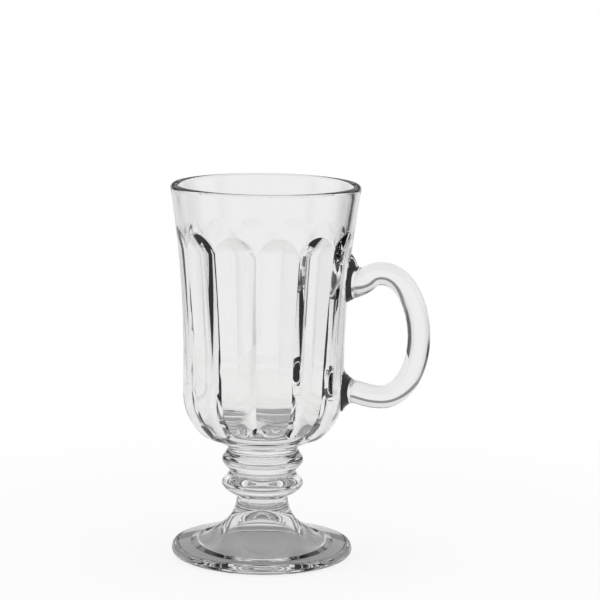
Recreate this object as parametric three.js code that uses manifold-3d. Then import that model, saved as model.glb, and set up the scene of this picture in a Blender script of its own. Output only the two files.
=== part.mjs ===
// A clear pressed-glass footed mug: a flared bowl, smooth outside and panelled inside, a stem with
// two rings, a domed foot and a looped handle. The four pieces of glass are fused together hot, so
// each one meets the next on a plain joint face.
// Millimetres, +Z up. The foot stands on Z = 0 and the handle points along +X.

import * as THREE from "three";
import { mergeVertices } from "three/addons/utils/BufferGeometryUtils.js";
import Module from "manifold-3d";

// Overall
const mugHeight = 152.4;
const rimRadius = 38.3; // widest point of the lip
const fuseGap = 0.3; // left between the handle's ends and the bowl

// Foot
const footRadius = 36.8;
const footHeight = 23.4; // table to the joint with the stem
const footEdgeHeight = 5.1; // rounded edge, up to where the dome starts
const edgeShoulder = 1.3; // how far the edge leans in at its top
const restRingWidth = 5;
const restRingOuterRadius = 32.4;
const dishDepth = 1; // of the dished underside inside the rest ring
const bellRadius = 24.5; // of the bell-shaped hollow in the dish
const bellDepth = 17; // dish to the top of the bell
const bellSweep = 1.6; // power of the bell's crown
const bellFlare = 1.5; // power of the bell's mouth
const skirtRun = 0.3; // the dome leaves the edge toward this share of its run
const skirtRise = 0.27; // and this share of its rise
const ankleRun = 0.055; // and reaches the neck from this share of its run
const ankleRise = 0.43; // and this share of its rise

// Stem
const stemHeight = 21; // joint with the foot to joint with the bowl
const neckRadius = 10.4; // thinnest place, at the joint with the foot
const neckLength = 1.3; // straight part under the lower ring
const ringRadius = 16.5; // both rings
const lowerRingRise = 6.6; // joint with the foot to the lower ring's crest
const ringPitch = 9.8; // crest to crest
const ringGrooveRadius = 13.4;
const collarRadius = 14.2; // joint with the bowl
const ringFullness = 0.75; // a ring's section is fuller as this falls below 1
const shelfFullness = 0.5; // the same for the underside of the lower ring

// Bowl, outside
const collarHeight = 1.2; // straight part above the joint
const coneRadius = 24.6; // where the conical underside meets the belly
const waistRadius = 32.6;
const bellyRadius = 21.8; // arc that turns the wall under
const bellyRise = 22.6; // joint with the stem to the top of that arc
const flareRise = 35.6; // joint with the stem to where the wall starts to flare
const flareSweep = 2; // power of the outer flare
const lipThickness = 3.1;

// Bowl, inside
const floorThickness = 10.1; // joint with the stem to the floor
const floorRadius = 8; // flat part of the floor
const heelHeight = 17.5; // floor to the top of the rounded heel
const heelRadius = 25.8; // at the creases, at the top of the heel
const heelFullness = 2.2; // 2 is an ellipse, more is squarer
const boreSweep = 1.2; // power of the bore's flare above the heel

// Panels of the bore: each one swells inward between two creases
const panelCount = 12;
const panelSwell = 0.3; // height of a panel's crest, as a share of half its breadth
const archDrop = 17.4; // top of the mug to the top of a panel's arch
const archHeight = 7.5;
const archEase = 1.5; // power of the run-out under the arch
const tailRadius = 20; // on the heel, where the panels start to run out
const tailLength = 5; // radially, to where they end
const tailEase = 2; // power of the run-out on the heel

// Handle
const handleReach = 67.2; // axis to the outside of the grip
const rodThickness = 9.2;
const rodBreadth = 10.4; // across, along Y
const crownDrop = 30.5; // top of the mug to the top of the handle
const crownReach = 47.3; // axis to the highest point
const gripDrop = 61; // top of the mug to the widest point of the grip
const handleHeelRise = 17.9; // joint of bowl and stem to the handle's lowest point
const handleHeelReach = 47.6; // axis to the lowest point
const upperRootDrop = 3.2; // crown's centre line to the upper root's
const upperRootRun = 3.9; // waist to where the upper root is level
const lowerRootRise = 2.1; // handle heel's centre line to the lower root's
const upperRootOver = 8; // added above the rod at the bowl
const upperRootLength = 9;
const upperRootUnder = 4.1; // added below the rod at the bowl
const upperRootUnderLength = 12;
const lowerRootFlare = 3.9; // added above and below
const lowerRootLength = 4.6;
const rootSpread = 1.8; // added to the rod on each side at the bowl
const rootFade = 2; // power of the fade from root to rod

// Fineness of the round surfaces
const turnSteps = 48; // around the foot and the stem
const panelSteps = 6; // across one panel
const arcSteps = 6;
const bellSteps = 18;
const wallSteps = 5;
const rodSides = 16;
const rodSteps = 52;
const rootCrowding = 0.65; // how much closer the rod's sections stand at its roots

// Levels, radii and angles that follow
const bowlBase = footHeight + stemHeight;
const bellyTop = bowlBase + bellyRise;
const bellyCentre = waistRadius - bellyRadius;
const flareStart = bowlBase + flareRise;
const lipRound = lipThickness / 2;
const lipZ = mugHeight - lipRound;
const lipInnerRadius = rimRadius - lipThickness;
const floorZ = bowlBase + floorThickness;
const heelTop = floorZ + heelHeight;
const archTop = mugHeight - archDrop;
const archSpring = archTop - archHeight;
const halfPanel = Math.PI / panelCount;
const bowlSteps = panelCount * panelSteps;

const wasm = await Module();
wasm.setup();

// A closed geometry as a solid that can be cut
function solid(geometry) {
  const bare = geometry.clone();
  bare.deleteAttribute("normal");
  bare.deleteAttribute("uv");
  const merged = mergeVertices(bare);
  return new wasm.Manifold(
    new wasm.Mesh({
      numProp: 3,
      vertProperties: merged.attributes.position.array,
      triVerts: new Uint32Array(merged.index.array),
    }),
  );
}

// A cut solid back as a geometry
function geometryOf(made) {
  const mesh = made.getMesh();
  const geometry = new THREE.BufferGeometry();
  geometry.setAttribute("position", new THREE.BufferAttribute(mesh.vertProperties, 3));
  geometry.setIndex(new THREE.BufferAttribute(mesh.triVerts, 1));
  geometry.computeVertexNormals();
  return geometry;
}

// A profile of [radius, height] points turned about the mug's axis
function turned(profile, count) {
  const points = profile.map(([r, z]) => new THREE.Vector2(r, z));
  return new THREE.LatheGeometry(points, count).rotateX(Math.PI / 2);
}

// A skin over a row of rings of [x, y, z] points, closed flat at both ends
function skinned(rings) {
  const sides = rings[0].length;
  const last = (rings.length - 1) * sides;
  const index = [];
  for (let side = 0; side < sides; side += 1) {
    const next = (side + 1) % sides;
    for (let ring = 0; ring < last; ring += sides) {
      index.push(ring + side, ring + next, ring + sides + side);
      index.push(ring + next, ring + sides + next, ring + sides + side);
    }
    if (side > 0 && next > 0) {
      index.push(0, next, side);
      index.push(last, last + side, last + next);
    }
  }
  const geometry = new THREE.BufferGeometry();
  geometry.setAttribute("position", new THREE.Float32BufferAttribute(rings.flat(2), 3));
  geometry.setIndex(index);
  geometry.computeVertexNormals();
  return geometry;
}

// count + 1 values of f, at even steps from 0 to 1
function steps(count, f) {
  return Array.from({ length: count + 1 }, (_, i) => f(i / count));
}

// The value part of the way from one to the other
function between(from, to, share) {
  return from + (to - from) * share;
}

// Points of an arc about (r, z), between two angles in radians
function arc(r, z, radius, from, to) {
  return steps(arcSteps, (t) => {
    const angle = between(from, to, t);
    return [r + radius * Math.cos(angle), z + radius * Math.sin(angle)];
  });
}

// Outer radius at a height on the bowl's wall
function wallRadius(z) {
  if (z >= flareStart) {
    const share = (z - flareStart) / (lipZ - flareStart);
    return between(waistRadius, rimRadius, share ** flareSweep);
  }
  if (z >= bellyTop) return waistRadius;
  return bellyCentre + Math.sqrt(bellyRadius ** 2 - (bellyTop - z) ** 2);
}

// Radius of the bore at its creases
function creaseRadius(z) {
  if (z >= heelTop) {
    return between(heelRadius, lipInnerRadius, ((z - heelTop) / (lipZ - heelTop)) ** boreSweep);
  }
  const depth = ((heelTop - z) / heelHeight) ** heelFullness;
  return between(floorRadius, heelRadius, Math.max(0, 1 - depth) ** (1 / heelFullness));
}

// How far the bore's panels stand in from the creases, across being 0 mid-panel and 1 at a crease.
// At both ends the swell is drawn back out of the glass, which leaves round arches.
function panelHeight(z, across) {
  const crease = creaseRadius(z);
  const above = Math.max(0, z - archSpring) / archHeight;
  const below = Math.max(0, tailRadius - crease) / tailLength;
  const swell = 1 - across ** 2 - above ** archEase - below ** tailEase;
  return Math.max(0, swell) * panelSwell * halfPanel * crease;
}

// The foot: a rounded edge, a dome that sweeps up to the neck and a hollow underside
function footGeometry() {
  const edgeRound = footEdgeHeight / 2;
  const dishRadius = restRingOuterRadius - restRingWidth;
  const underside = steps(bellSteps, (t) => {
    const within = Math.min(1, (dishRadius * t) / bellRadius);
    const bell = bellDepth * (1 - within ** bellSweep) ** bellFlare;
    return [dishRadius * t, dishDepth * (1 - t * t) + bell];
  });
  const edge = steps(arcSteps, (t) => {
    const angle = Math.PI * (t - 1 / 2);
    const run = t < 1 / 2 ? footRadius - restRingOuterRadius : edgeShoulder;
    return [footRadius - run * (1 - Math.cos(angle)), edgeRound * (1 + Math.sin(angle))];
  });
  const skirt = footRadius - edgeShoulder;
  const dome = new THREE.CubicBezierCurve(
    new THREE.Vector2(skirt, footEdgeHeight),
    new THREE.Vector2(
      between(neckRadius, skirt, skirtRun),
      between(footEdgeHeight, footHeight, skirtRise),
    ),
    new THREE.Vector2(
      between(neckRadius, skirt, ankleRun),
      between(footEdgeHeight, footHeight, ankleRise),
    ),
    new THREE.Vector2(neckRadius, footHeight),
  );
  const profile = [
    ...underside,
    ...edge,
    ...dome.getPoints(arcSteps).slice(1).map((p) => p.toArray()),
    [0, footHeight],
  ];
  return turned(profile, turnSteps);
}

// One side of a ring, from a groove to the crest
function ringSide(groove, grooveZ, crestZ, fullness) {
  return steps(wallSteps, (t) => {
    const swell = Math.sin((Math.PI * t) / 2) ** (2 * fullness);
    return [between(groove, ringRadius, swell), between(grooveZ, crestZ, t)];
  });
}

// The stem: a short neck, two rings with a groove between them and a collar under the bowl
function stemGeometry() {
  const lowerCrest = footHeight + lowerRingRise;
  const upperCrest = lowerCrest + ringPitch;
  const grooveZ = (lowerCrest + upperCrest) / 2;
  const profile = [
    [0, footHeight],
    [neckRadius, footHeight],
    ...ringSide(neckRadius, footHeight + neckLength, lowerCrest, shelfFullness),
    ...ringSide(ringGrooveRadius, grooveZ, lowerCrest, ringFullness).reverse().slice(1),
    ...ringSide(ringGrooveRadius, grooveZ, upperCrest, ringFullness).slice(1),
    ...ringSide(collarRadius, bowlBase, upperCrest, ringFullness).reverse().slice(1),
    [0, bowlBase],
  ];
  return turned(profile, turnSteps);
}

// Outside of the bowl from the collar up to the widest point of the lip, stood off by a gap
function wallProfile(gap) {
  const coneAngle = -Math.acos((coneRadius - bellyCentre) / bellyRadius);
  const wall = steps(wallSteps, (t) => between(flareStart, lipZ, t));
  return [
    [collarRadius, bowlBase],
    [collarRadius, bowlBase + collarHeight],
    ...arc(bellyCentre, bellyTop, bellyRadius, coneAngle, 0),
    ...wall.map((z) => [wallRadius(z), z]),
  ].map(([r, z]) => [r + gap, z]);
}

// The bowl: a turned wall and lip over a bore pressed into panels
function bowlGeometry() {
  const lip = arc(rimRadius - lipRound, lipZ, lipRound, 0, Math.PI).slice(1);
  const heel = steps(arcSteps, (t) => {
    const drop = Math.sin((Math.PI * t) / 2) ** (2 / heelFullness);
    return heelTop - heelHeight * drop;
  });
  const bore = [
    archTop,
    ...steps(arcSteps, (t) => between(archTop, archSpring, t)).slice(1),
    ...steps(wallSteps, (t) => between(archSpring, heelTop, t)).slice(1, -1),
    ...heel,
  ];
  const ring = (z, radiusAt) =>
    Array.from({ length: bowlSteps }, (_, i) => {
      const angle = (2 * Math.PI * i) / bowlSteps;
      const across = Math.abs(((2 * i) / panelSteps) % 2 - 1);
      const r = radiusAt(across);
      return [r * Math.cos(angle), r * Math.sin(angle), z];
    });
  return skinned([
    ...[...wallProfile(0), ...lip].map(([r, z]) => ring(z, () => r)),
    ...bore.map((z) => ring(z, (across) => creaseRadius(z) - panelHeight(z, across))),
  ]);
}

// The handle's centre line in the X-Z plane, from the lower root round to the upper one
function handleLine() {
  const gripReach = handleReach - rodThickness / 2;
  const gripZ = mugHeight - gripDrop;
  const crownZ = mugHeight - crownDrop - rodThickness / 2;
  const heelZ = bowlBase + handleHeelRise + rodThickness / 2;
  const upperZ = crownZ - upperRootDrop;
  const lowerZ = heelZ + lowerRootRise;
  const crownRun = gripReach - crownReach;
  const heelRun = gripReach - handleHeelReach;
  const easeIn = (waistRadius + handleHeelReach) / 2;
  const rootReach = waistRadius + upperRootRun;
  const easeOut = (rootReach + crownReach) / 2;
  return new THREE.Path()
    .moveTo(heelRadius, lowerZ)
    .lineTo(waistRadius, lowerZ)
    .bezierCurveTo(easeIn, lowerZ, easeIn, heelZ, handleHeelReach, heelZ)
    .absellipse(handleHeelReach, gripZ, heelRun, gripZ - heelZ, -Math.PI / 2, 0)
    .absellipse(crownReach, gripZ, crownRun, crownZ - gripZ, 0, Math.PI / 2)
    .bezierCurveTo(easeOut, crownZ, easeOut, upperZ, rootReach, upperZ)
    .lineTo(heelRadius, upperZ);
}

// The handle: a rod along its line, swelling at both roots and ending just clear of the bowl
function handleGeometry() {
  const line = handleLine();
  const rings = steps(rodSteps, (t) => {
    const u = t - (rootCrowding * Math.sin(2 * Math.PI * t)) / (2 * Math.PI);
    const centre = line.getPointAt(u);
    const along = line.getTangentAt(u);
    const upper = u > 1 / 2;
    const clear = Math.max(0, centre.x - wallRadius(centre.y));
    const root = (length) => Math.max(0, 1 - clear / length) ** rootFade;
    const over = upper ? upperRootOver * root(upperRootLength) : lowerRootFlare * root(lowerRootLength);
    const under = upper ? upperRootUnder * root(upperRootUnderLength) : over;
    const wide = rodBreadth / 2 + rootSpread * root(upper ? upperRootLength : lowerRootLength);
    return Array.from({ length: rodSides }, (_, side) => {
      const angle = (2 * Math.PI * side) / rodSides;
      const high = rodThickness / 2 + (Math.cos(angle) > 0 ? over : under);
      const out = high * Math.cos(angle);
      return [centre.x + along.y * out, wide * Math.sin(angle), centre.y - along.x * out];
    });
  });
  const bowl = turned([[0, bowlBase], ...wallProfile(fuseGap), [0, lipZ]], bowlSteps);
  return geometryOf(solid(skinned(rings)).subtract(solid(bowl)));
}

// Each piece with its own glass
function piece(name, geometry, colour) {
  const glass = new THREE.MeshStandardMaterial({
    color: colour,
    roughness: 0.05,
    metalness: 0,
    transparent: true,
    opacity: 0.35,
  });
  const mesh = new THREE.Mesh(geometry, glass);
  mesh.name = name;
  return mesh;
}

// The group's origin is under the middle of the whole mug, handle included
const mug = new THREE.Group();
const body = new THREE.Group();
body.position.x = (rimRadius - handleReach) / 2;
body.add(
  piece("foot", footGeometry(), 0xe9eeee),
  piece("stem", stemGeometry(), 0xe6ebeb),
  piece("bowl", bowlGeometry(), 0xeef2f2),
  piece("handle", handleGeometry(), 0xecf0f0),
);
mug.add(body);

export default mug;
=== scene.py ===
"""A clear pressed-glass footed mug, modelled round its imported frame, on a plain pale stage."""

import math

import bpy
from bpy.props import (
    FloatProperty,
    FloatVectorProperty,
    IntProperty,
    PointerProperty,
    StringProperty,
)
from bpy.types import Operator, Panel, PropertyGroup
from mathutils import Matrix, Vector


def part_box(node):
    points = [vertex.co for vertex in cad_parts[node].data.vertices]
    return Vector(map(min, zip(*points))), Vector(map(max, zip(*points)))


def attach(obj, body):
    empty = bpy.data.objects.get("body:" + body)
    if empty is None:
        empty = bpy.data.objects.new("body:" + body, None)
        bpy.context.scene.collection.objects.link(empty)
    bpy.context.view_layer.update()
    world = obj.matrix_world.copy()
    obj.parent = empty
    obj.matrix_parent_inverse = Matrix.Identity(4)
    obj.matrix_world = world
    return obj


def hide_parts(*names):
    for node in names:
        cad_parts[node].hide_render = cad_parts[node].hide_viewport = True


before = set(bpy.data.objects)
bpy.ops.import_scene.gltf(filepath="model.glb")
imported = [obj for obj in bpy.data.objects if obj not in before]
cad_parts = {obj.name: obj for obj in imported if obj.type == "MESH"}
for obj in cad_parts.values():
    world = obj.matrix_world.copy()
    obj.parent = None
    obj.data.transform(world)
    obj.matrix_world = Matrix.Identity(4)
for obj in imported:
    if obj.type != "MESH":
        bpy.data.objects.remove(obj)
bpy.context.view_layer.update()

bl_info = {
    "name": "Footed glass mug",
    "version": (1, 0, 0),
    "blender": (4, 5, 0),
    "location": "View3D > Sidebar > Mug",
    "description": "Builds a clear pressed-glass footed mug and its stage round the packed frame",
    "category": "Object",
}

MM = 0.001
BODY = "root"

# Levels and radii that the frame gives
FOOT_HIGH = Vector(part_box("foot")[1])
STEM_LOW, STEM_HIGH = (Vector(corner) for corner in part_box("stem"))
BOWL_LOW, BOWL_HIGH = (Vector(corner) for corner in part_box("bowl"))
HANDLE_HIGH = Vector(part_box("handle")[1])
AXIS = Vector(((BOWL_LOW.x + BOWL_HIGH.x) / 2, 0.0, 0.0))
FOOT_RADIUS = FOOT_HIGH.y
RIM_RADIUS = BOWL_HIGH.y
RING_RADIUS = STEM_HIGH.y
HANDLE_REACH = HANDLE_HIGH.x - AXIS.x


def length(name, mm, description):
    """A length property in metres, its default given in millimetres."""
    return FloatProperty(name=name, description=description, default=mm * MM, unit="LENGTH")


def share(name, value, description):
    """A plain number property."""
    return FloatProperty(name=name, description=description, default=value)


class MugFootSizes(PropertyGroup):
    """Sizes of the domed foot."""

    edge_height: length("Edge height", 5.1, "Rounded edge, up to where the dome starts")
    edge_shoulder: length("Edge shoulder", 1.3, "How far the edge leans in at its top")
    ring_outer: length("Rest ring radius", 32.4, "Outside of the ring that the mug stands on")
    ring_width: length("Rest ring width", 5.0, "Width of the ring that the mug stands on")
    dish: length("Dish depth", 1.0, "Depth of the dished underside inside the rest ring")
    bell: length("Bell depth", 17.0, "Dish to the top of its bell-shaped hollow")
    bell_radius: length("Bell radius", 24.5, "Radius of the bell-shaped hollow")
    bell_sweep: share("Bell sweep", 1.6, "Power of the bell's crown")
    bell_flare: share("Bell flare", 1.5, "Power of the bell's mouth")
    skirt_run: share("Skirt run", 0.3, "The dome leaves the edge toward this share of its run")
    skirt_rise: share("Skirt rise", 0.27, "The dome leaves the edge toward this share of its rise")
    ankle_run: share("Ankle run", 0.055, "The dome reaches the neck from this share of its run")
    ankle_rise: share("Ankle rise", 0.43, "The dome reaches the neck from this share of its rise")


class MugStemSizes(PropertyGroup):
    """Sizes of the stem and its two rings."""

    neck: length("Neck radius", 10.4, "Thinnest place, at the joint with the foot")
    neck_length: length("Neck length", 1.3, "Straight part under the lower ring")
    lower_rise: length("Lower ring rise", 6.6, "Joint with the foot to the lower ring's crest")
    pitch: length("Ring pitch", 9.8, "Crest to crest")
    groove: length("Groove radius", 13.4, "Between the two rings")
    collar: length("Collar radius", 14.2, "At the joint with the bowl")
    fullness: share("Ring fullness", 0.75, "A ring's section is fuller as this falls below 1")
    shelf: share("Shelf fullness", 0.5, "Fullness of the lower ring's underside")


class MugBowlSizes(PropertyGroup):
    """Sizes of the bowl, smooth outside and panelled inside."""

    collar_height: length("Collar height", 1.2, "Straight part above the joint with the stem")
    cone: length("Cone radius", 24.6, "Where the conical underside meets the belly")
    waist: length("Waist radius", 32.6, "Outside, above the belly")
    belly: length("Belly radius", 21.8, "Arc that turns the wall under")
    belly_rise: length("Belly rise", 22.6, "Joint with the stem to the top of the belly's arc")
    flare_rise: length("Flare rise", 35.6, "Joint with the stem to where the wall starts to flare")
    flare_sweep: share("Flare sweep", 2.0, "Power of the outer flare")
    lip: length("Lip thickness", 3.1, "Thickness of the rolled lip")
    floor: length("Floor thickness", 10.1, "Joint with the stem to the floor")
    floor_radius: length("Floor radius", 8.0, "Flat part of the floor")
    heel_height: length("Heel height", 17.5, "Floor to the top of the rounded heel")
    heel: length("Heel radius", 25.8, "At the creases, at the top of the heel")
    heel_fullness: share("Heel fullness", 2.2, "2 is an ellipse, more is squarer")
    bore_sweep: share("Bore sweep", 1.2, "Power of the bore's flare")
    panels: IntProperty(name="Panels", description="Panels round the bore", default=12)
    swell: share("Panel swell", 0.3, "Height of a panel's crest, as a share of half its breadth")
    arch_drop: length("Arch drop", 17.4, "Top of the mug to the top of a panel's arch")
    arch_height: length("Arch height", 7.5, "Height of a panel's arch")
    arch_ease: share("Arch ease", 1.5, "Power of the run-out under the arch")
    tail: length("Tail radius", 20.0, "On the heel, where the panels start to run out")
    tail_length: length("Tail length", 5.0, "Radially, to where the panels end")
    tail_ease: share("Tail ease", 2.0, "Power of the run-out on the heel")
    softness: length("Crease softness", 0.08, "How far the creases are filled by fire-polishing")


class MugHandleSizes(PropertyGroup):
    """Sizes of the looped handle."""

    thickness: length("Rod thickness", 9.2, "In the handle's plane")
    breadth: length("Rod breadth", 10.4, "Across the handle's plane")
    crown_drop: length("Crown drop", 30.5, "Top of the mug to the top of the handle")
    crown_reach: length("Crown reach", 47.3, "Axis to the highest point")
    grip_drop: length("Grip drop", 61.0, "Top of the mug to the widest point of the grip")
    heel_rise: length("Heel rise", 17.9, "Joint of bowl and stem to the lowest point")
    heel_reach: length("Heel reach", 47.6, "Axis to the lowest point")
    upper_drop: length("Upper root drop", 3.2, "Crown's centre line to the upper root's")
    upper_run: length("Upper root run", 3.9, "Waist to where the upper root is level")
    lower_rise: length("Lower root rise", 2.1, "Heel's centre line to the lower root's")
    upper_over: length("Upper root over", 8.0, "Added above the rod at the bowl")
    upper_length: length("Upper root length", 9.0, "Bowl to where that has faded")
    upper_under: length("Upper root under", 4.1, "Added below the rod at the bowl")
    upper_under_length: length("Upper root under length", 12.0, "Bowl to where that has faded")
    lower_flare: length("Lower root flare", 3.9, "Added above and below at the bowl")
    lower_length: length("Lower root length", 4.6, "Bowl to where the lower root has faded")
    spread: length("Root spread", 1.8, "Added on each side at the bowl")
    fade: share("Root fade", 2.0, "Power of the fade from root to rod")


class MugGlassLook(PropertyGroup):
    """Finish of the glass."""

    tint: StringProperty(name="Tint", description="Colour of the glass, sRGB hex", default="FFFFFF")
    ior: share("IOR", 1.52, "Refractive index of soda-lime glass")
    ripple: length("Ripple size", 9.0, "Breadth of the mould's faint ripples")
    ripple_depth: length("Ripple depth", 0.02, "Depth of the mould's faint ripples")
    patch: length("Polish patch", 14.0, "Breadth of the patches in the fire polish")
    dull: share("Dullness", 0.03, "Roughness where the fire polish is weakest")


class MugStageLook(PropertyGroup):
    """The photograph's camera and light."""

    paper: StringProperty(
        name="Paper", description="Colour of the floor, sRGB hex", default="F6F6F5"
    )
    paper_radius: length("Paper radius", 300.0, "Radius of the floor")
    lift: share("Lift", 0.85, "How far the camera sees the paper lifted to white")
    glass_lift: share("Glass lift", 0.1, "How far the glass sees the paper lifted to white")
    backdrop: share("Backdrop", 0.85, "Brightness of the backdrop, seen in the glass")
    dim: share("Dim", 0.7, "Brightness of the walls beside the backdrop, seen in the glass")
    flag: share("Flags", 0.05, "Brightness of the two dark flags beside the backdrop")
    box: share("Boxes", 1.0, "Brightness of the two side boxes")
    ceiling: share("Ceiling", 0.75, "Brightness of the overhead scrim")
    roof: share("Roof", 0.2, "Brightness of the ceiling below and above it")
    front: share("Front", 0.85, "Brightness of the room behind the camera")
    lamp_size: length("Lamp size", 900.0, "Breadth of the overhead lamp")
    lamp_height: length("Lamp height", 1400.0, "Height of the overhead lamp")
    lamp_power: FloatProperty(
        name="Lamp power", description="Power of the overhead lamp", default=10.0, unit="POWER"
    )
    lens: FloatProperty(name="Lens", description="Focal length", default=151.37, unit="CAMERA")
    stand: FloatVectorProperty(
        name="Camera stand",
        description="Camera from the foot of the mug's axis, before it is turned with the handle",
        default=(14.273 * MM, -1004.024 * MM, 272.406 * MM),
        subtype="TRANSLATION",
    )
    pitch: FloatProperty(
        name="Pitch",
        description="Camera's downward tilt",
        default=math.radians(9.443),
        unit="ROTATION",
    )
    roll: FloatProperty(
        name="Roll", description="Camera's roll", default=math.radians(0.827), unit="ROTATION"
    )
    turn: FloatProperty(
        name="Turn",
        description="Handle's turn toward the camera",
        default=math.radians(5.3),
        unit="ROTATION",
    )


def linear(hex_colour):
    """An sRGB hex colour as a linear RGBA tuple."""
    channels = [int(hex_colour[i : i + 2], 16) / 255 for i in (0, 2, 4)]
    return (*[c / 12.92 if c <= 0.04045 else ((c + 0.055) / 1.055) ** 2.4 for c in channels], 1.0)


def add(tree, kind, inputs=None, **settings):
    """A new node with its settings, its inputs set to values or linked to sockets."""
    node = tree.nodes.new(kind)
    for key, value in settings.items():
        setattr(node, key, value)
    for key, value in (inputs or {}).items():
        if isinstance(value, bpy.types.NodeSocket):
            tree.links.new(value, node.inputs[key])
        else:
            node.inputs[key].default_value = value
    return node


def maths_in(tree):
    """A function that adds a Math node to the tree and gives its result."""

    def maths(operation, *values):
        inputs = dict(enumerate(values))
        return add(tree, "ShaderNodeMath", inputs, operation=operation).outputs[0]

    return maths


def between(start, end, part):
    """The value part of the way from start to end."""
    return start + (end - start) * part


def steps(count, function):
    """count + 1 values of the function, at even steps from 0 to 1."""
    return [function(i / count) for i in range(count + 1)]


def cubic(points, t):
    """A point on a cubic curve with four control points, as (radius, height)."""
    weights = ((1 - t) ** 3, 3 * t * (1 - t) ** 2, 3 * t * t * (1 - t), t**3)
    return tuple(sum(w * p[i] for w, p in zip(weights, points)) for i in (0, 1))


def wall_radius(bowl, z):
    """Outer radius at a height on the bowl's wall."""
    base = BOWL_LOW.z
    flare_start = base + bowl.flare_rise
    belly_top = base + bowl.belly_rise
    if z >= flare_start:
        part = (z - flare_start) / (BOWL_HIGH.z - bowl.lip / 2 - flare_start)
        return between(bowl.waist, RIM_RADIUS, part**bowl.flare_sweep)
    if z >= belly_top:
        return bowl.waist
    return bowl.waist - bowl.belly + math.sqrt(bowl.belly**2 - (belly_top - z) ** 2)


# Noise levels between which the fire polish weakens, and how fine the two noises are
POLISH_LOW, POLISH_HIGH = 0.45, 0.75
RIPPLE_DETAIL, POLISH_DETAIL = 1.0, 2.0


# Every piece is one kind of glass, soda-lime, pressed in a mould and fire-polished: to the eye it
# is colourless and nearly mirror-smooth, but the mould leaves faint ripples that make the light in
# it waver, and here and there the polish is a little dull.
def pressed_glass(look):
    """The mug's clear glass."""
    material = bpy.data.materials.get("pressed soda-lime glass")
    if material:
        return material
    material = bpy.data.materials.new("pressed soda-lime glass")
    material.use_nodes = True
    tree = material.node_tree
    tree.nodes.clear()
    place = add(tree, "ShaderNodeTexCoord")
    noise = add(
        tree,
        "ShaderNodeTexNoise",
        {"Vector": place.outputs["Object"], "Scale": 1 / look.ripple, "Detail": RIPPLE_DETAIL},
    )
    ripple = add(
        tree,
        "ShaderNodeBump",
        {"Height": noise.outputs["Fac"], "Strength": 1.0, "Distance": look.ripple_depth},
    )
    polish = add(
        tree,
        "ShaderNodeTexNoise",
        {"Vector": place.outputs["Object"], "Scale": 1 / look.patch, "Detail": POLISH_DETAIL},
    )
    dullness = add(
        tree,
        "ShaderNodeMapRange",
        {
            "Value": polish.outputs["Fac"],
            "From Min": POLISH_LOW,
            "From Max": POLISH_HIGH,
            "To Min": 0.0,
            "To Max": look.dull,
        },
    )
    glass = add(
        tree,
        "ShaderNodeBsdfPrincipled",
        {
            "Base Color": linear(look.tint),
            "Roughness": dullness.outputs["Result"],
            "IOR": look.ior,
            "Transmission Weight": 1.0,
            "Normal": ripple.outputs["Normal"],
        },
    )
    add(tree, "ShaderNodeOutputMaterial", {"Surface": glass.outputs["BSDF"]})
    return material


# Where two pieces were fused hot there is no surface left: nothing shows, and light runs on.
def fused_joint():
    """What the pieces wear where they are fused together."""
    material = bpy.data.materials.get("fused glass joint")
    if material:
        return material
    material = bpy.data.materials.new("fused glass joint")
    material.use_nodes = True
    tree = material.node_tree
    tree.nodes.clear()
    clear = add(tree, "ShaderNodeBsdfTransparent")
    add(tree, "ShaderNodeOutputMaterial", {"Surface": clear.outputs["BSDF"]})
    return material


WHITE = (1.0, 1.0, 1.0, 1.0)
PAPER_SIDES = 96

# Radii between which the camera sees the paper turn white
PAPER_FADE = (110 * MM, 280 * MM)

# Upright panels of the surround: bearing of the middle from the backdrop's, half width, softness
LEFT_FLAG = (math.radians(-48), math.radians(15), math.radians(4))
RIGHT_FLAG = (math.radians(51), math.radians(19), math.radians(4))
LEFT_BOX = (math.radians(-92), math.radians(20), math.radians(12))
RIGHT_BOX = (math.radians(92), math.radians(20), math.radians(12))

# Heights above the horizon, and bearings, where the parts of the surround start, end or fade
LEFT_FOOT, RIGHT_FOOT, FLAG_SOFT = math.radians(-10), math.radians(-25), math.radians(3)
BELT_TOP, BELT_SOFT = math.radians(4), math.radians(3)
BOX_TOP, BOX_SOFT = math.radians(18), math.radians(12)
BOX_FOOT = math.radians(-28), math.radians(-6)
FALL = math.radians(10), math.radians(34)
SCRIM_LOW, SCRIM_HIGH, SCRIM_SOFT = math.radians(13), math.radians(40), math.radians(2)
ROOM = math.radians(105), math.radians(130)
ROOM_TOP = math.radians(50), math.radians(35)

TURN_INPUTS = (
    ("Axis", "NodeSocketVector"),
    ("Turns", "NodeSocketInt"),
    ("Panels", "NodeSocketInt"),
    ("Swell", "NodeSocketFloat"),
    ("Arch Spring", "NodeSocketFloat"),
    ("Arch Height", "NodeSocketFloat"),
    ("Arch Ease", "NodeSocketFloat"),
    ("Tail Radius", "NodeSocketFloat"),
    ("Tail Length", "NodeSocketFloat"),
    ("Tail Ease", "NodeSocketFloat"),
    ("Softness", "NodeSocketFloat"),
    ("Glass", "NodeSocketMaterial"),
    ("Joint", "NodeSocketMaterial"),
)

# Points closer than this are one, folds sharper than this are creases, a face is a joint if wholly
# marked so, and half a step keeps a column's number clear of rounding
WELD = 1e-6
SHARP_FOLD = math.radians(35)
WHOLLY = 0.99
HALF_STEP = 0.5


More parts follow.
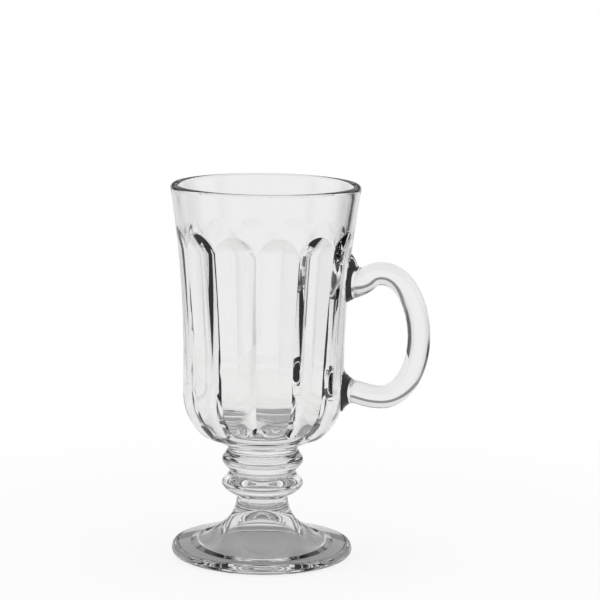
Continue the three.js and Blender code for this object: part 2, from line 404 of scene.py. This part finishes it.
def turning_tree():
    """The nodes that turn a profile about the axis and press panels into its bore."""
    tree = bpy.data.node_groups.get("Turned glass")
    if tree:
        return tree
    tree = bpy.data.node_groups.new("Turned glass", "GeometryNodeTree")
    tree.interface.new_socket("Profile", in_out="INPUT", socket_type="NodeSocketGeometry")
    for name, kind in TURN_INPUTS:
        tree.interface.new_socket(name, in_out="INPUT", socket_type=kind)
    tree.interface.new_socket("Piece", in_out="OUTPUT", socket_type="NodeSocketGeometry")
    given = add(tree, "NodeGroupInput").outputs
    maths = maths_in(tree)

    def profile_value(kind, value):
        sample = add(
            tree,
            "GeometryNodeSampleIndex",
            {"Geometry": given["Profile"], "Value": value, "Index": point},
            data_type=kind,
        )
        return sample.outputs[0]

    def marked_as(name):
        return add(
            tree, "GeometryNodeInputNamedAttribute", {"Name": name}, data_type="FLOAT"
        ).outputs[0]

    size = add(tree, "GeometryNodeAttributeDomainSize", {"Geometry": given["Profile"]}).outputs
    count = size["Point Count"]
    index = add(tree, "GeometryNodeInputIndex").outputs[0]
    point = maths("FLOORED_MODULO", index, count)
    column = maths("FLOOR", maths("DIVIDE", maths("ADD", index, HALF_STEP), count))
    position = profile_value("FLOAT_VECTOR", add(tree, "GeometryNodeInputPosition").outputs[0])
    joint = marked_as("joint")
    in_bore = profile_value("FLOAT", marked_as("bore"))
    in_joint = profile_value("FLOAT", joint)
    place = add(tree, "ShaderNodeSeparateXYZ", {0: position}).outputs
    radius, height = place["X"], place["Z"]
    part = maths("DIVIDE", column, given["Turns"])
    angle = maths("MULTIPLY", part, 2 * math.pi)

    # A panel's rise at this point: a parabola between two creases, drawn back at both ends
    panel = maths("FRACT", maths("MULTIPLY", part, given["Panels"]))
    across = maths("MULTIPLY_ADD", panel, 2.0, -1.0)
    above = maths("MAXIMUM", maths("SUBTRACT", height, given["Arch Spring"]), 0.0)
    arch = maths("POWER", maths("DIVIDE", above, given["Arch Height"]), given["Arch Ease"])
    below = maths("MAXIMUM", maths("SUBTRACT", given["Tail Radius"], radius), 0.0)
    tail = maths("POWER", maths("DIVIDE", below, given["Tail Length"]), given["Tail Ease"])
    crown = maths("SUBTRACT", 1.0, maths("MULTIPLY", across, across))
    left = maths("SUBTRACT", crown, maths("ADD", arch, tail))
    half_breadth = maths("DIVIDE", maths("MULTIPLY", radius, math.pi), given["Panels"])
    rise = maths("MULTIPLY", left, maths("MULTIPLY", half_breadth, given["Swell"]))
    soft = maths("SMOOTH_MAX", rise, 0.0, given["Softness"])
    pressed = maths("SUBTRACT", radius, maths("MULTIPLY", soft, in_bore))

    turned = add(
        tree,
        "ShaderNodeCombineXYZ",
        {
            "X": maths("MULTIPLY", pressed, maths("COSINE", angle)),
            "Y": maths("MULTIPLY", pressed, maths("SINE", angle)),
            "Z": height,
        },
    )
    on_axis = add(
        tree, "ShaderNodeVectorMath", {0: turned.outputs[0], 1: given["Axis"]}, operation="ADD"
    )
    columns = maths("ADD", given["Turns"], 1.0)
    sheet = add(tree, "GeometryNodeMeshGrid", {"Vertices X": columns, "Vertices Y": count})
    marked = add(
        tree,
        "GeometryNodeStoreNamedAttribute",
        {"Geometry": sheet.outputs["Mesh"], "Name": "joint", "Value": in_joint},
        data_type="FLOAT",
        domain="POINT",
    )
    shaped = add(
        tree,
        "GeometryNodeSetPosition",
        {"Geometry": marked.outputs[0], "Position": on_axis.outputs[0]},
    )
    closed = add(
        tree, "GeometryNodeMergeByDistance", {"Geometry": shaped.outputs[0], "Distance": WELD}
    )
    smooth = add(tree, "GeometryNodeSetShadeSmooth", {"Geometry": closed.outputs[0]}, domain="FACE")
    fold = add(tree, "GeometryNodeInputMeshEdgeAngle").outputs["Unsigned Angle"]
    is_sharp = add(tree, "FunctionNodeCompare", {0: fold, 1: SHARP_FOLD}, operation="GREATER_THAN")
    edged = add(
        tree,
        "GeometryNodeSetShadeSmooth",
        {"Geometry": smooth.outputs[0], "Selection": is_sharp.outputs[0], "Shade Smooth": False},
        domain="EDGE",
    )
    real = add(tree, "GeometryNodeRealizeInstances", {"Geometry": edged.outputs[0]})
    glazed = add(
        tree,
        "GeometryNodeSetMaterial",
        {"Geometry": real.outputs[0], "Material": given["Glass"]},
    )
    is_joint = add(tree, "FunctionNodeCompare", {0: joint, 1: WHOLLY}, operation="GREATER_THAN")
    fused = add(
        tree,
        "GeometryNodeSetMaterial",
        {
            "Geometry": glazed.outputs[0],
            "Selection": is_joint.outputs[0],
            "Material": given["Joint"],
        },
    )
    add(tree, "NodeGroupOutput", {"Piece": fused.outputs[0]})
    return tree


def turned_piece(name, profile, look, turns, **values):
    """A piece turned from a profile of (radius, height, in the bore, on a joint)."""
    mesh = bpy.data.meshes.new(name)
    mesh.from_pydata([(r, 0.0, z) for r, z, _, _ in profile], [], [])
    for attribute, column in (("bore", 2), ("joint", 3)):
        layer = mesh.attributes.new(attribute, "FLOAT", "POINT")
        layer.data.foreach_set("value", [float(row[column]) for row in profile])
    piece = bpy.data.objects.new(name, mesh)
    bpy.context.scene.collection.objects.link(piece)
    tree = turning_tree()
    modifier = piece.modifiers.new("Turned glass", "NODES")
    modifier.node_group = tree
    settings = {
        "Axis": tuple(AXIS),
        "Turns": turns,
        "Panels": 1,
        "Swell": 0.0,
        "Arch Spring": BOWL_HIGH.z,
        "Arch Height": 1.0,
        "Arch Ease": 1.0,
        "Tail Radius": 0.0,
        "Tail Length": 1.0,
        "Tail Ease": 1.0,
        "Softness": 0.0,
        "Glass": pressed_glass(look),
        "Joint": fused_joint(),
        **values,
    }
    for socket in tree.interface.items_tree:
        if socket.in_out == "INPUT" and socket.name in settings:
            modifier[socket.identifier] = settings[socket.name]
    graph = bpy.context.evaluated_depsgraph_get()
    finished = bpy.data.meshes.new_from_object(piece.evaluated_get(graph))
    piece.modifiers.clear()
    piece.data = finished
    finished.name = name
    bpy.data.meshes.remove(mesh)
    if not finished.polygons:
        raise RuntimeError(f"{name} came out empty")
    return piece


def hand_in(piece, node):
    """Ties a finished piece to the frame."""
    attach(piece, BODY)
    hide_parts(node)


# How finely the pieces are turned
FOOT_TURNS = 144
DOME_STEPS = 40
EDGE_STEPS = 28
RING_STEPS = 18
WALL_STEPS = 30
ARCH_STEPS = 44
HEEL_STEPS = 44
BELLY_STEPS = 30
PANEL_STEPS = 24


class MUG_OT_foot(Operator):
    """Turn the domed foot"""

    bl_idname = "mug.foot"
    bl_label = "Foot"

    def execute(self, context):
        size, neck = context.scene.mug_foot, context.scene.mug_stem.neck
        top = FOOT_HIGH.z
        ring_inner = size.ring_outer - size.ring_width
        skirt = FOOT_RADIUS - size.edge_shoulder

        def edge_point(t):
            angle = math.pi * (t - 0.5)
            run = FOOT_RADIUS - size.ring_outer if t < 0.5 else size.edge_shoulder
            return (
                FOOT_RADIUS - run * (1 - math.cos(angle)),
                size.edge_height / 2 * (1 + math.sin(angle)),
            )

        dome = (
            (skirt, size.edge_height),
            (
                between(neck, skirt, size.skirt_run),
                between(size.edge_height, top, size.skirt_rise),
            ),
            (
                between(neck, skirt, size.ankle_run),
                between(size.edge_height, top, size.ankle_rise),
            ),
            (neck, top),
        )

        def under(t):
            within = min(1.0, ring_inner * t / size.bell_radius)
            bell = size.bell * (1 - within**size.bell_sweep) ** size.bell_flare
            return ring_inner * t, size.dish * (1 - t * t) + bell

        outline = steps(2 * DOME_STEPS, under)
        outline += steps(EDGE_STEPS, edge_point)
        outline += steps(DOME_STEPS, lambda t: cubic(dome, t))[1:]
        profile = [(r, z, 0, 0) for r, z in outline[:-1]]
        profile += [(neck, top, 0, 1), (0.0, top, 0, 1)]
        piece = turned_piece("foot_glass", profile, context.scene.mug_glass, FOOT_TURNS)
        hand_in(piece, "foot")
        return {"FINISHED"}


class MUG_OT_stem(Operator):
    """Turn the stem with its two rings"""

    bl_idname = "mug.stem"
    bl_label = "Stem"

    def execute(self, context):
        size = context.scene.mug_stem
        low, high = STEM_LOW.z, STEM_HIGH.z
        lower = low + size.lower_rise
        upper = lower + size.pitch
        groove_z = (lower + upper) / 2

        def side(groove, start, crest, fullness):
            return steps(
                RING_STEPS,
                lambda t: (
                    between(groove, RING_RADIUS, math.sin(math.pi * t / 2) ** (2 * fullness)),
                    between(start, crest, t),
                ),
            )

        outline = side(size.neck, low + size.neck_length, lower, size.shelf)
        outline += side(size.groove, groove_z, lower, size.fullness)[-2::-1]
        outline += side(size.groove, groove_z, upper, size.fullness)[1:]
        outline += side(size.collar, high, upper, size.fullness)[-2::-1]
        profile = [(0.0, low, 0, 1), (size.neck, low, 0, 1)]
        profile += [(r, z, 0, 0) for r, z in outline[:-1]]
        profile += [(size.collar, high, 0, 1), (0.0, high, 0, 1)]
        piece = turned_piece("stem_glass", profile, context.scene.mug_glass, FOOT_TURNS)
        hand_in(piece, "stem")
        return {"FINISHED"}


class MUG_OT_bowl(Operator):
    """Turn the bowl and press the panels of its bore"""

    bl_idname = "mug.bowl"
    bl_label = "Bowl"

    def execute(self, context):
        size, collar = context.scene.mug_bowl, context.scene.mug_stem.collar
        base, top = BOWL_LOW.z, BOWL_HIGH.z
        belly_top = base + size.belly_rise
        flare_start = base + size.flare_rise
        lip_round = size.lip / 2
        lip_z = top - lip_round
        floor_z = base + size.floor
        heel_top = floor_z + size.heel_height
        arch_top = top - size.arch_drop
        spring = arch_top - size.arch_height
        lip_inner = RIM_RADIUS - size.lip
        belly_centre = size.waist - size.belly
        cone_angle = math.acos((size.cone - belly_centre) / size.belly)
        cone_z = belly_top - size.belly * math.sin(cone_angle)
        collar_z = base + size.collar_height

        def bore_point(z):
            part = (z - heel_top) / (lip_z - heel_top)
            return between(size.heel, lip_inner, part**size.bore_sweep), z

        def heel_point(t):
            angle = math.pi / 2 * t
            out = math.cos(angle) ** (2 / size.heel_fullness) if t < 1 else 0.0
            drop = math.sin(angle) ** (2 / size.heel_fullness)
            return between(size.floor_radius, size.heel, out), heel_top - size.heel_height * drop

        outside = steps(EDGE_STEPS // 4, lambda t: (collar, between(base, collar_z, t)))[1:]
        outside += steps(
            EDGE_STEPS // 2,
            lambda t: (between(collar, size.cone, t), between(collar_z, cone_z, t)),
        )[1:-1]
        outside += steps(
            BELLY_STEPS,
            lambda t: (
                belly_centre + size.belly * math.cos(cone_angle * (1 - t)),
                belly_top - size.belly * math.sin(cone_angle * (1 - t)),
            ),
        )
        outside += steps(
            WALL_STEPS // 4, lambda t: (size.waist, between(belly_top, flare_start, t))
        )[1:]
        outside += [
            (wall_radius(size, z), z)
            for z in steps(WALL_STEPS, lambda t: between(flare_start, lip_z, t))[1:]
        ]
        outside += steps(
            EDGE_STEPS,
            lambda t: (
                RIM_RADIUS - lip_round + lip_round * math.cos(math.pi * t),
                lip_z + lip_round * math.sin(math.pi * t),
            ),
        )[1:]
        inside = steps(WALL_STEPS // 2, lambda t: bore_point(between(lip_z, arch_top, t)))[1:]
        inside += steps(ARCH_STEPS, lambda t: bore_point(between(arch_top, spring, t)))[1:]
        inside += steps(WALL_STEPS, lambda t: bore_point(between(spring, heel_top, t)))[1:-1]
        inside += steps(HEEL_STEPS, heel_point)
        profile = [(0.0, base, 0, 1), (collar, base, 0, 1)]
        profile += [(r, z, 0, 0) for r, z in outside]
        profile += [(r, z, 1, 0) for r, z in inside]
        profile += [(0.0, floor_z, 0, 0)]
        piece = turned_piece(
            "bowl_glass",
            profile,
            context.scene.mug_glass,
            size.panels * PANEL_STEPS,
            **{
                "Panels": size.panels,
                "Swell": size.swell,
                "Arch Spring": spring,
                "Arch Height": size.arch_height,
                "Arch Ease": size.arch_ease,
                "Tail Radius": size.tail,
                "Tail Length": size.tail_length,
                "Tail Ease": size.tail_ease,
                "Softness": size.softness,
            },
        )
        open_roots(piece, context.scene)
        hand_in(piece, "bowl")
        return {"FINISHED"}


# How finely the handle is drawn, how much its rings crowd towards the roots, the small step along
# it that gives its direction, and how far a face of the bowl has to face it
LINE_STEPS = 60
ROD_STEPS = 120
ROD_SIDES = 40
ROOT_STEPS = 16
CROWDING = 0.65
NUDGE = 0.002
FACING = 0.5


def handle_line(scene):
    """Points (reach, height) along the handle's centre line, from the lower root to the upper."""
    size, bowl = scene.mug_handle, scene.mug_bowl
    half = size.thickness / 2
    grip_reach = HANDLE_REACH - half
    grip_z = BOWL_HIGH.z - size.grip_drop
    crown_z = BOWL_HIGH.z - size.crown_drop - half
    heel_z = BOWL_LOW.z + size.heel_rise + half
    lower_z = heel_z + size.lower_rise
    upper_z = crown_z - size.upper_drop
    ease_in = (bowl.waist + size.heel_reach) / 2
    root_reach = bowl.waist + size.upper_run
    ease_out = (root_reach + size.crown_reach) / 2

    def quarter(reach, rise, start):
        return lambda t: (
            reach + (grip_reach - reach) * math.cos(start + math.pi / 2 * t),
            grip_z + rise * math.sin(start + math.pi / 2 * t),
        )

    lower = (
        (bowl.waist, lower_z),
        (ease_in, lower_z),
        (ease_in, heel_z),
        (size.heel_reach, heel_z),
    )
    upper = (
        (size.crown_reach, crown_z),
        (ease_out, crown_z),
        (ease_out, upper_z),
        (root_reach, upper_z),
    )
    parts = (
        lambda t: (between(bowl.heel, bowl.waist, t), lower_z),
        lambda t: cubic(lower, t),
        quarter(size.heel_reach, grip_z - heel_z, -math.pi / 2),
        quarter(size.crown_reach, crown_z - grip_z, 0.0),
        lambda t: cubic(upper, t),
        lambda t: (between(root_reach, bowl.heel, t), upper_z),
    )
    points = [parts[0](0.0)]
    for part in parts:
        points += steps(LINE_STEPS, part)[1:]
    return [Vector(p) for p in points]


def handle_rings(scene):
    """Rings of points along the rod, from the mug's axis, its roots still inside the bowl."""
    size, bowl = scene.mug_handle, scene.mug_bowl
    line = handle_line(scene)
    runs = [0.0]
    for before, after in zip(line, line[1:]):
        runs.append(runs[-1] + (after - before).length)

    def at(part):
        run = part * runs[-1]
        i = next(k for k in range(1, len(runs)) if runs[k] >= run or k == len(runs) - 1)
        step = line[i] - line[i - 1]
        return line[i - 1] + step * ((run - runs[i - 1]) / step.length)

    def faded(clear, reach):
        return max(0.0, 1 - clear / reach) ** size.fade

    rings = []
    for t in steps(ROD_STEPS, lambda t: t):
        u = t - CROWDING * math.sin(2 * math.pi * t) / (2 * math.pi)
        centre = at(u)
        along = (at(min(1.0, u + NUDGE)) - at(max(0.0, u - NUDGE))).normalized()
        is_upper = u > 0.5
        clear = max(0.0, centre.x - wall_radius(bowl, centre.y))
        root = faded(clear, size.upper_length if is_upper else size.lower_length)
        over = (size.upper_over if is_upper else size.lower_flare) * root
        under = size.upper_under * faded(clear, size.upper_under_length) if is_upper else over
        wide = size.breadth / 2 + root * size.spread
        ring = []
        for side in range(ROD_SIDES):
            angle = 2 * math.pi * side / ROD_SIDES
            high = size.thickness / 2 + (over if math.cos(angle) > 0 else under)
            out = high * math.cos(angle)
            ring.append(
                Vector((centre.x + along.y * out, wide * math.sin(angle), centre.y - along.x * out))
            )
        rings.append(ring)
    return rings


def rod_on_wall(scene):
    """The rod's rings with both ends brought to the bowl's wall, so that they meet it all round."""
    bowl = scene.mug_bowl
    rings = handle_rings(scene)

    def outside(p):
        return math.hypot(p.x, p.y) - wall_radius(bowl, p.z)

    def root(stack):
        """Rings from the wall out to the first one that is clear of it, and that one's place."""
        clear = next(i for i, ring in enumerate(stack) if all(outside(p) > 0 for p in ring)) + 2
        lines = []
        for side in range(ROD_SIDES):
            inner = max(i for i in range(clear) if outside(stack[i][side]) <= 0)
            a, b = stack[inner][side], stack[inner + 1][side]
            part = outside(a) / (outside(a) - outside(b))
            lines.append([a.lerp(b, part)] + [stack[i][side] for i in range(inner + 1, clear + 1)])
        made = []
        for step in range(ROOT_STEPS):
            made.append([along_line(line, step / ROOT_STEPS) for line in lines])
        return made, clear

    lower, first = root(rings)
    upper, last = root(rings[::-1])
    return lower + rings[first : len(rings) - last] + upper[::-1]


def along_line(line, part):
    """The point at that part of a row of points, by length."""
    runs = [(b - a).length for a, b in zip(line, line[1:])]
    left = part * sum(runs)
    for a, b, run in zip(line, line[1:], runs):
        if left <= run:
            return a.lerp(b, left / run if run else 0.0)
        left -= run
    return line[-1].copy()


def open_roots(piece, scene):
    """Marks the bowl's wall as fused where the handle's two roots stand on it."""
    rings = rod_on_wall(scene)
    slot = piece.data.materials.find(fused_joint().name)
    outlines = [[(p.y, p.z) for p in ring] for ring in (rings[0], rings[-1])]
    for face in piece.data.polygons:
        centre = face.center - AXIS
        facing = face.normal.x
        if facing < FACING or centre.x < facing * scene.mug_bowl.heel:
            continue
        if any(within(outline, centre.y, centre.z) for outline in outlines):
            face.material_index = slot


def within(outline, y, z):
    """Whether a point lies inside a closed outline."""
    inside = False
    for (y0, z0), (y1, z1) in zip(outline, outline[1:] + outline[:1]):
        if (z0 > z) != (z1 > z) and y < between(y0, y1, (z - z0) / (z1 - z0)):
            inside = not inside
    return inside


class MUG_OT_handle(Operator):
    """Draw the looped handle and set its roots on the bowl"""

    bl_idname = "mug.handle"
    bl_label = "Handle"

    def execute(self, context):
        scene = context.scene
        rings = rod_on_wall(scene)
        points = [p + AXIS for ring in rings for p in ring]
        last = (len(rings) - 1) * ROD_SIDES
        faces = []
        for side in range(ROD_SIDES):
            after = (side + 1) % ROD_SIDES
            for ring in range(0, last, ROD_SIDES):
                beyond = ring + ROD_SIDES
                faces.append((ring + side, ring + after, beyond + after, beyond + side))
        ends = []
        for start, turn in ((0, -1), (last, 1)):
            ring = points[start : start + ROD_SIDES]
            middle = sum(ring, Vector()) / ROD_SIDES
            points.append(Vector((AXIS.x + wall_radius(scene.mug_bowl, middle.z), 0.0, middle.z)))
            for side in range(ROD_SIDES):
                rim = (start + side, start + (side + 1) % ROD_SIDES)[::turn]
                ends.append((len(points) - 1, *rim))
        mesh = bpy.data.meshes.new("handle_glass")
        mesh.from_pydata(points, [], faces + ends)
        mesh.materials.append(pressed_glass(scene.mug_glass))
        mesh.materials.append(fused_joint())
        for face in mesh.polygons:
            face.use_smooth = True
            face.material_index = int(face.index >= len(faces))
        mesh.set_sharp_from_angle(angle=SHARP_FOLD)
        mesh.update()
        piece = bpy.data.objects.new("handle_glass", mesh)
        scene.collection.objects.link(piece)
        hand_in(piece, "handle")
        return {"FINISHED"}


class MUG_OT_stage(Operator):
    """Set up the paper floor, the light and the camera"""

    bl_idname = "mug.stage"
    bl_label = "Stage"

    def execute(self, context):
        scene, look = context.scene, context.scene.mug_stage
        scene.view_settings.view_transform = "Standard"
        self.paper(scene, look)
        self.surround(scene, look)
        self.lamps(scene, look)
        self.camera(scene, look)
        return {"FINISHED"}

    def paper(self, scene, look):
        """A round sheet of pale paper that keeps the mug's shadow.

        The camera sees it lifted towards white, all the way at its far edge; the glass sees it
        nearly as it is lit.
        """
        mesh = bpy.data.meshes.new("paper_floor")
        rim = [2 * math.pi * i / PAPER_SIDES for i in range(PAPER_SIDES)]
        mesh.from_pydata(
            [(look.paper_radius * math.cos(a), look.paper_radius * math.sin(a), 0.0) for a in rim],
            [],
            [range(PAPER_SIDES)],
        )
        floor = bpy.data.objects.new("paper_floor", mesh)
        scene.collection.objects.link(floor)
        # Matt paper: an even white without shine, which takes a soft shadow
        material = bpy.data.materials.new("matt white paper")
        material.use_nodes = True
        tree = material.node_tree
        tree.nodes.clear()
        maths = maths_in(tree)

        path = add(tree, "ShaderNodeLightPath").outputs
        in_glass = maths("MAXIMUM", path["Is Glossy Ray"], path["Is Transmission Ray"])
        place = add(tree, "ShaderNodeTexCoord").outputs["Object"]
        off = add(tree, "ShaderNodeVectorMath", {0: place}, operation="LENGTH").outputs["Value"]
        near, far = PAPER_FADE
        fade = add(
            tree,
            "ShaderNodeMapRange",
            {"Value": off, "From Min": near, "From Max": far, "To Min": look.lift, "To Max": 1.0},
            interpolation_type="SMOOTHSTEP",
        )
        lift = maths(
            "ADD",
            maths("MULTIPLY", path["Is Camera Ray"], fade.outputs[0]),
            maths("MULTIPLY", in_glass, look.glass_lift),
        )
        paper = add(tree, "ShaderNodeBsdfDiffuse", {"Color": linear(look.paper)})
        white = add(tree, "ShaderNodeEmission", {"Color": WHITE, "Strength": 1.0})
        mixed = add(
            tree, "ShaderNodeMixShader", {0: lift, 1: paper.outputs[0], 2: white.outputs[0]}
        )
        add(tree, "ShaderNodeOutputMaterial", {"Surface": mixed.outputs[0]})
        mesh.materials.append(material)

    def surround(self, scene, look):
        """A studio that the camera sees as white.

        The glass sees its pale backdrop, the two dark flags beside it, a box on each side, a scrim
        overhead and the room behind the camera.
        """
        world = bpy.data.worlds.new("studio")
        scene.world = world
        world.use_nodes = True
        tree = world.node_tree
        tree.nodes.clear()
        maths = maths_in(tree)

        def ramp(value, start, end):
            inputs = {"Value": value, "From Min": start, "From Max": end}
            node = add(tree, "ShaderNodeMapRange", inputs, interpolation_type="SMOOTHSTEP")
            return node.outputs[0]

        def panel(middle, half, soft):
            off = maths("ABSOLUTE", maths("SUBTRACT", bearing, middle))
            return ramp(off, half + soft, half - soft)

        way = add(tree, "ShaderNodeTexCoord").outputs["Generated"]
        turned = add(
            tree,
            "ShaderNodeVectorRotate",
            {"Vector": way, "Angle": -look.turn},
            rotation_type="Z_AXIS",
        )
        along = add(tree, "ShaderNodeSeparateXYZ", {0: turned.outputs[0]}).outputs
        bearing = maths("ARCTAN2", along["X"], along["Y"])
        rise = maths("ARCSINE", along["Z"])
        belt = ramp(rise, BELT_TOP + BELT_SOFT, BELT_TOP - BELT_SOFT)
        left_rise = ramp(rise, LEFT_FOOT - FLAG_SOFT, LEFT_FOOT + FLAG_SOFT)
        right_rise = ramp(rise, RIGHT_FOOT - FLAG_SOFT, RIGHT_FOOT + FLAG_SOFT)
        left = maths("MULTIPLY", panel(*LEFT_FLAG), left_rise)
        right = maths("MULTIPLY", panel(*RIGHT_FLAG), right_rise)
        flags = maths("MAXIMUM", left, right)
        facing = maths("ABSOLUTE", bearing)
        aside = ramp(facing, *FALL)
        walls = maths("MULTIPLY_ADD", aside, look.dim - look.backdrop, look.backdrop)
        walls = maths("MULTIPLY_ADD", flags, maths("SUBTRACT", look.flag, walls), walls)
        walls = maths("MULTIPLY", belt, walls)
        boxes = maths("MAXIMUM", panel(*LEFT_BOX), panel(*RIGHT_BOX))
        boxes = maths("MULTIPLY", boxes, ramp(rise, BOX_TOP + BOX_SOFT, BOX_TOP - BOX_SOFT))
        boxes = maths("MULTIPLY", boxes, ramp(rise, *BOX_FOOT))
        scrim = maths(
            "MULTIPLY",
            ramp(rise, SCRIM_LOW - SCRIM_SOFT, SCRIM_LOW + SCRIM_SOFT),
            ramp(rise, SCRIM_HIGH + SCRIM_SOFT, SCRIM_HIGH - SCRIM_SOFT),
        )
        ceiling = maths("MULTIPLY_ADD", scrim, look.ceiling - look.roof, look.roof)
        ceiling = maths("MULTIPLY", ceiling, ramp(rise, 0.0, BELT_SOFT))
        room = maths("MULTIPLY", ramp(facing, *ROOM), ramp(rise, *ROOM_TOP))
        room = maths("MULTIPLY", room, look.front)
        lit = maths("MULTIPLY", boxes, look.box)
        bright = maths("MAXIMUM", maths("MAXIMUM", walls, lit), maths("MAXIMUM", ceiling, room))
        path = add(tree, "ShaderNodeLightPath").outputs
        seen = maths("MAXIMUM", bright, path["Is Camera Ray"])
        shade = add(tree, "ShaderNodeBackground", {"Color": WHITE, "Strength": seen})
        add(tree, "ShaderNodeOutputWorld", {"Surface": shade.outputs[0]})

    def lamps(self, scene, look):
        """A soft overhead lamp that lights the paper and isn't itself seen in the glass."""
        data = bpy.data.lights.new("overhead", "AREA")
        data.shape = "DISK"
        data.size = look.lamp_size
        data.energy = look.lamp_power
        lamp = bpy.data.objects.new("overhead", data)
        lamp.location = (0.0, 0.0, look.lamp_height)
        lamp.visible_glossy = False
        lamp.visible_transmission = False
        scene.collection.objects.link(lamp)

    def camera(self, scene, look):
        """The photograph's camera, fitted to the mug's outline."""
        data = bpy.data.cameras.new("camera")
        data.lens = look.lens
        camera = bpy.data.objects.new("camera", data)
        scene.collection.objects.link(camera)
        turn = Matrix.Rotation(look.turn, 4, "Z")
        tilt = Matrix.Rotation(math.pi / 2 - look.pitch, 4, "X")
        roll = Matrix.Rotation(look.roll, 4, "Z")
        stand = Matrix.Translation(AXIS) @ turn @ Matrix.Translation(Vector(look.stand))
        camera.matrix_world = stand @ tilt @ roll
        scene.camera = camera


class MUG_PT_sidebar(Panel):
    """Lists the mug's pieces"""

    bl_idname = "MUG_PT_sidebar"
    bl_label = "Footed glass mug"
    bl_space_type = "VIEW_3D"
    bl_region_type = "UI"
    bl_category = "Mug"

    def draw(self, context):
        for operator in OPERATORS:
            self.layout.operator(operator.bl_idname)


GROUPS = {
    "mug_foot": MugFootSizes,
    "mug_stem": MugStemSizes,
    "mug_bowl": MugBowlSizes,
    "mug_handle": MugHandleSizes,
    "mug_glass": MugGlassLook,
    "mug_stage": MugStageLook,
}
OPERATORS = (MUG_OT_foot, MUG_OT_stem, MUG_OT_bowl, MUG_OT_handle, MUG_OT_stage)
CLASSES = (*GROUPS.values(), *OPERATORS, MUG_PT_sidebar)


def register():
    for item in CLASSES:
        bpy.utils.register_class(item)
    for name, group in GROUPS.items():
        setattr(bpy.types.Scene, name, PointerProperty(type=group))


def unregister():
    for name in GROUPS:
        delattr(bpy.types.Scene, name)
    for item in reversed(CLASSES):
        bpy.utils.unregister_class(item)


def main():
    register()
    bpy.ops.mug.foot()
    bpy.ops.mug.stem()
    bpy.ops.mug.bowl()
    bpy.ops.mug.handle()
    bpy.ops.mug.stage()


if __name__ == "__main__":
    main()
